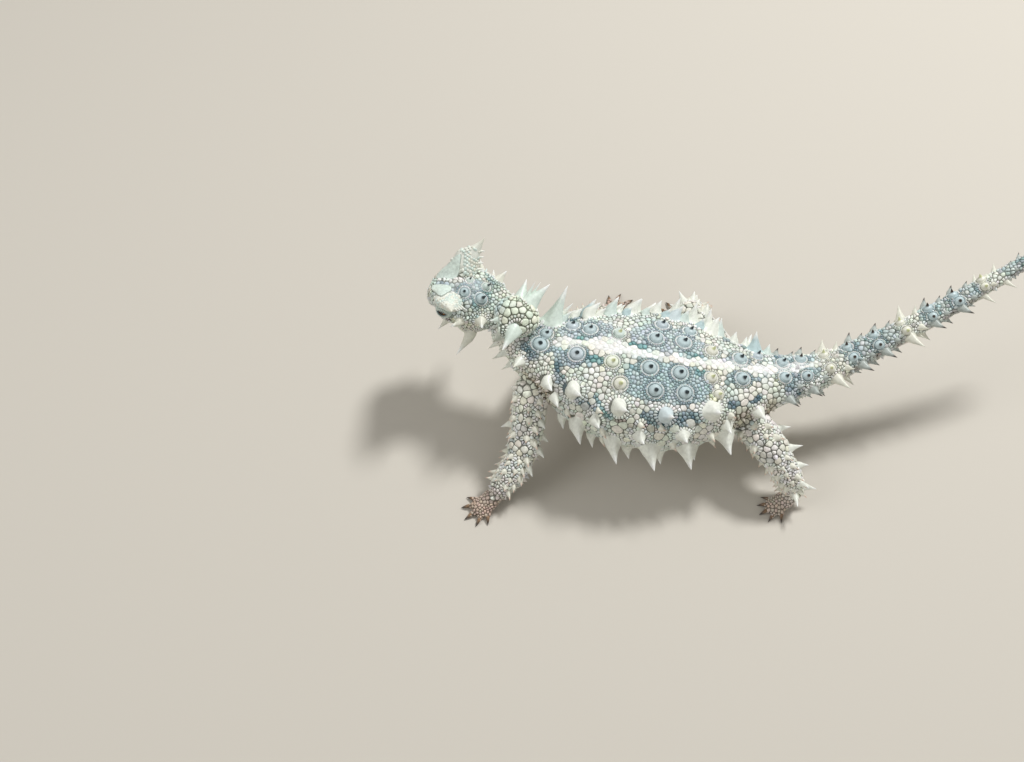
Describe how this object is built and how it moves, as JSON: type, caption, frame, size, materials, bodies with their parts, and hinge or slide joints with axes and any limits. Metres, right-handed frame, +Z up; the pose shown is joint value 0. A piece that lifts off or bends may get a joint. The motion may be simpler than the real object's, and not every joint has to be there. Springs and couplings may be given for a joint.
{
  "type": "thorny devil",
  "caption": "Still, life-size thorny devil lizard, mid-stride on all fours, head turned to its right, tail raised, covered in conical thorns and pebbled scales.",
  "frame": {"origin": "on the floor under the middle of the whole animal's bounding box", "axes": "the animal faces -X, its tail points to +X, its left side is towards -Y and its right side towards +Y, +Z up"},
  "size_m": [0.1718, 0.077, 0.0474],
  "materials": {
    "body_skin": "dry matt reptile skin, cream and pale green with blue-grey and teal patches edged in dark brown, under a white stripe along the back",
    "limb_skin": "dry matt reptile skin, cream plates with dark grey gaps",
    "foot_skin": "dry matt reptile skin, pinkish brown, fine-grained",
    "thorn": "thorns of hard skin, pale green-white, faintly waxy, darker at the root",
    "horn": "horn of hard skin, pale green-yellow, faintly waxy",
    "claw": "dark brown claw, slightly glossy",
    "eye": "wet dark brown eye"
  },
  "bodies": {
    "root": {"eye_left": "eye", "eye_right": "eye", "foot_left": "foot_skin", "foot_right": "foot_skin", "forearm_left": "limb_skin", "forearm_right": "limb_skin", "hand_left": "foot_skin", "hand_right": "foot_skin", "head": "body_skin", "horn_left": "horn", "horn_right": "horn", "nape_knob": "body_skin", "neck": "body_skin", "shank_left": "limb_skin", "shank_right": "limb_skin", "tail_base": "body_skin", "tail_end": "body_skin", "tail_middle": "body_skin", "thigh_left": "limb_skin", "thigh_right": "limb_skin", "trunk": "body_skin", "upper_arm_left": "limb_skin", "upper_arm_right": "limb_skin"}
  },
  "joints": []
}
